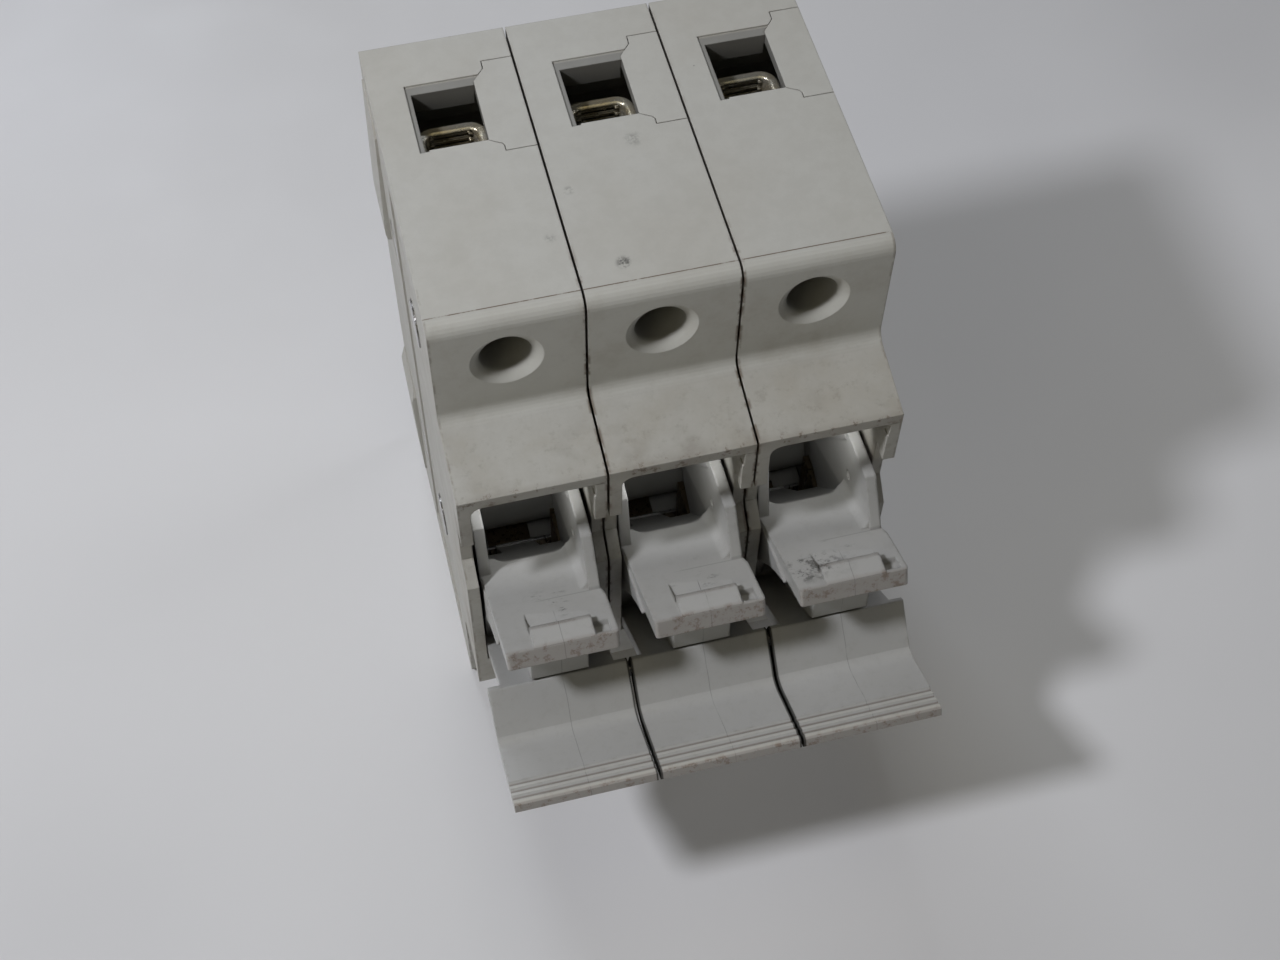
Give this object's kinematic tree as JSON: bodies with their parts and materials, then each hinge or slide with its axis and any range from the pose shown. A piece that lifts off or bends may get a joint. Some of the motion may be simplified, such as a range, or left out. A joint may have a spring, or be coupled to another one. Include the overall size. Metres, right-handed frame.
{
  "type": "cartridge fuse holder",
  "caption": "Rail-mounted fuse holder with side-by-side swing-out carriers for cylindrical cartridge fuses, cage-clamp terminals and curled pull handles.",
  "frame": {"origin": "on the rail seat plane, at mid-width and at the rail's centre line", "axes": "+Z towards the upper end face, -Y out of the front, +X across the poles"},
  "size_m": [0.0545, 0.0839, 0.081],
  "materials": {
    "shell_plastic": "fine matt texture, light warm grey, handling marks",
    "carrier_plastic": "smoother light grey with a slight sheen, brown grime on edges",
    "contact_metal": "stamped strip, tinned where it touches",
    "zinc_steel": "yellow-passivated zinc, rounded bright edges",
    "screw_steel": "dull zinc",
    "spring_steel": "bright spring steel",
    "rivet_steel": "nickel-plated, slightly domed",
    "catch_plastic": "dark grey moulded"
  },
  "bodies": {
    "body": {"housing_1": "shell_plastic", "cover_1": "shell_plastic", "upper_contact_1": "contact_metal", "lower_contact_1": "contact_metal", "upper_jaw_spring_1": "spring_steel", "lower_jaw_spring_1": "spring_steel", "catch_spring_1": "spring_steel", "housing_2": "shell_plastic", "cover_2": "shell_plastic", "upper_contact_2": "contact_metal", "lower_contact_2": "contact_metal", "upper_jaw_spring_2": "spring_steel", "lower_jaw_spring_2": "spring_steel", "catch_spring_2": "spring_steel", "housing_3": "shell_plastic", "cover_3": "shell_plastic", "upper_contact_3": "contact_metal", "lower_contact_3": "contact_metal", "upper_jaw_spring_3": "spring_steel", "lower_jaw_spring_3": "spring_steel", "catch_spring_3": "spring_steel", "tie_rivets": "rivet_steel"},
    "carrier_1": {"carrier_1": "carrier_plastic"},
    "upper_cage_1": {"upper_cage_1": "zinc_steel"},
    "upper_screw_1": {"upper_screw_1": "screw_steel"},
    "lower_cage_1": {"lower_cage_1": "zinc_steel"},
    "lower_screw_1": {"lower_screw_1": "screw_steel"},
    "rail_catch_1": {"rail_catch_1": "catch_plastic"},
    "carrier_2": {"carrier_2": "carrier_plastic", "handle_link_pins": "spring_steel"},
    "upper_cage_2": {"upper_cage_2": "zinc_steel"},
    "upper_screw_2": {"upper_screw_2": "screw_steel"},
    "lower_cage_2": {"lower_cage_2": "zinc_steel"},
    "lower_screw_2": {"lower_screw_2": "screw_steel"},
    "rail_catch_2": {"rail_catch_2": "catch_plastic"},
    "carrier_3": {"carrier_3": "carrier_plastic"},
    "upper_cage_3": {"upper_cage_3": "zinc_steel"},
    "upper_screw_3": {"upper_screw_3": "screw_steel"},
    "lower_cage_3": {"lower_cage_3": "zinc_steel"},
    "lower_screw_3": {"lower_screw_3": "screw_steel"},
    "rail_catch_3": {"rail_catch_3": "catch_plastic"}
  },
  "joints": [
    {"name": "carrier_swing_1", "type": "hinge", "parent": "body", "child": "carrier_1", "pos_m": [-0.018, -0.04, -0.008], "axis": [1, 0, 0], "range_deg": [-36, 0]},
    {"name": "carrier_swing_2", "type": "hinge", "parent": "body", "child": "carrier_2", "pos_m": [0, -0.04, -0.008], "axis": [1, 0, 0], "range_deg": [-36, 0]},
    {"name": "carrier_swing_3", "type": "hinge", "parent": "body", "child": "carrier_3", "pos_m": [0.018, -0.04, -0.008], "axis": [1, 0, 0], "range_deg": [-36, 0]},
    {"name": "upper_screw_turn_1", "type": "hinge", "parent": "body", "child": "upper_screw_1", "pos_m": [-0.0182, -0.035, 0.033], "axis": [0, 1, 0], "range_deg": [-2477, 1307]},
    {"name": "upper_cage_slide_1", "type": "slide", "parent": "body", "child": "upper_cage_1", "axis": [0, 1, 0], "range_m": [-0.0055, 0.0029]},
    {"name": "lower_screw_turn_1", "type": "hinge", "parent": "body", "child": "lower_screw_1", "pos_m": [-0.0182, -0.035, -0.033], "axis": [0, 1, 0], "range_deg": [-2477, 1307]},
    {"name": "lower_cage_slide_1", "type": "slide", "parent": "body", "child": "lower_cage_1", "axis": [0, 1, 0], "range_m": [-0.0055, 0.0029]},
    {"name": "upper_screw_turn_2", "type": "hinge", "parent": "body", "child": "upper_screw_2", "pos_m": [-0.0002, -0.035, 0.033], "axis": [0, 1, 0], "range_deg": [-2477, 1307]},
    {"name": "upper_cage_slide_2", "type": "slide", "parent": "body", "child": "upper_cage_2", "axis": [0, 1, 0], "range_m": [-0.0055, 0.0029]},
    {"name": "lower_screw_turn_2", "type": "hinge", "parent": "body", "child": "lower_screw_2", "pos_m": [-0.0002, -0.035, -0.033], "axis": [0, 1, 0], "range_deg": [-2477, 1307]},
    {"name": "lower_cage_slide_2", "type": "slide", "parent": "body", "child": "lower_cage_2", "axis": [0, 1, 0], "range_m": [-0.0055, 0.0029]},
    {"name": "upper_screw_turn_3", "type": "hinge", "parent": "body", "child": "upper_screw_3", "pos_m": [0.0178, -0.035, 0.033], "axis": [0, 1, 0], "range_deg": [-2477, 1307]},
    {"name": "upper_cage_slide_3", "type": "slide", "parent": "body", "child": "upper_cage_3", "axis": [0, 1, 0], "range_m": [-0.0055, 0.0029]},
    {"name": "lower_screw_turn_3", "type": "hinge", "parent": "body", "child": "lower_screw_3", "pos_m": [0.0178, -0.035, -0.033], "axis": [0, 1, 0], "range_deg": [-2477, 1307]},
    {"name": "lower_cage_slide_3", "type": "slide", "parent": "body", "child": "lower_cage_3", "axis": [0, 1, 0], "range_m": [-0.0055, 0.0029]},
    {"name": "rail_catch_slide_1", "type": "slide", "parent": "body", "child": "rail_catch_1", "axis": [0, 0, -1], "range_m": [0, 0.003], "stiffness_N_per_m": 1500, "springref_m": -0.002, "deforming": ["catch_spring_1"]},
    {"name": "rail_catch_slide_2", "type": "slide", "parent": "body", "child": "rail_catch_2", "axis": [0, 0, -1], "range_m": [0, 0.003], "stiffness_N_per_m": 1500, "springref_m": -0.002, "deforming": ["catch_spring_2"]},
    {"name": "rail_catch_slide_3", "type": "slide", "parent": "body", "child": "rail_catch_3", "axis": [0, 0, -1], "range_m": [0, 0.003], "stiffness_N_per_m": 1500, "springref_m": -0.002, "deforming": ["catch_spring_3"]}
  ],
  "couplings": [
    {"joint": "upper_screw_turn_1", "follows": "upper_cage_slide_1", "rad_per_m": 7854},
    {"joint": "lower_screw_turn_1", "follows": "lower_cage_slide_1", "rad_per_m": 7854},
    {"joint": "upper_screw_turn_2", "follows": "upper_cage_slide_2", "rad_per_m": 7854},
    {"joint": "lower_screw_turn_2", "follows": "lower_cage_slide_2", "rad_per_m": 7854},
    {"joint": "upper_screw_turn_3", "follows": "upper_cage_slide_3", "rad_per_m": 7854},
    {"joint": "lower_screw_turn_3", "follows": "lower_cage_slide_3", "rad_per_m": 7854},
    {"joint": "carrier_swing_1", "follows": "carrier_swing_2", "ratio": 1},
    {"joint": "carrier_swing_3", "follows": "carrier_swing_2", "ratio": 1}
  ]
}
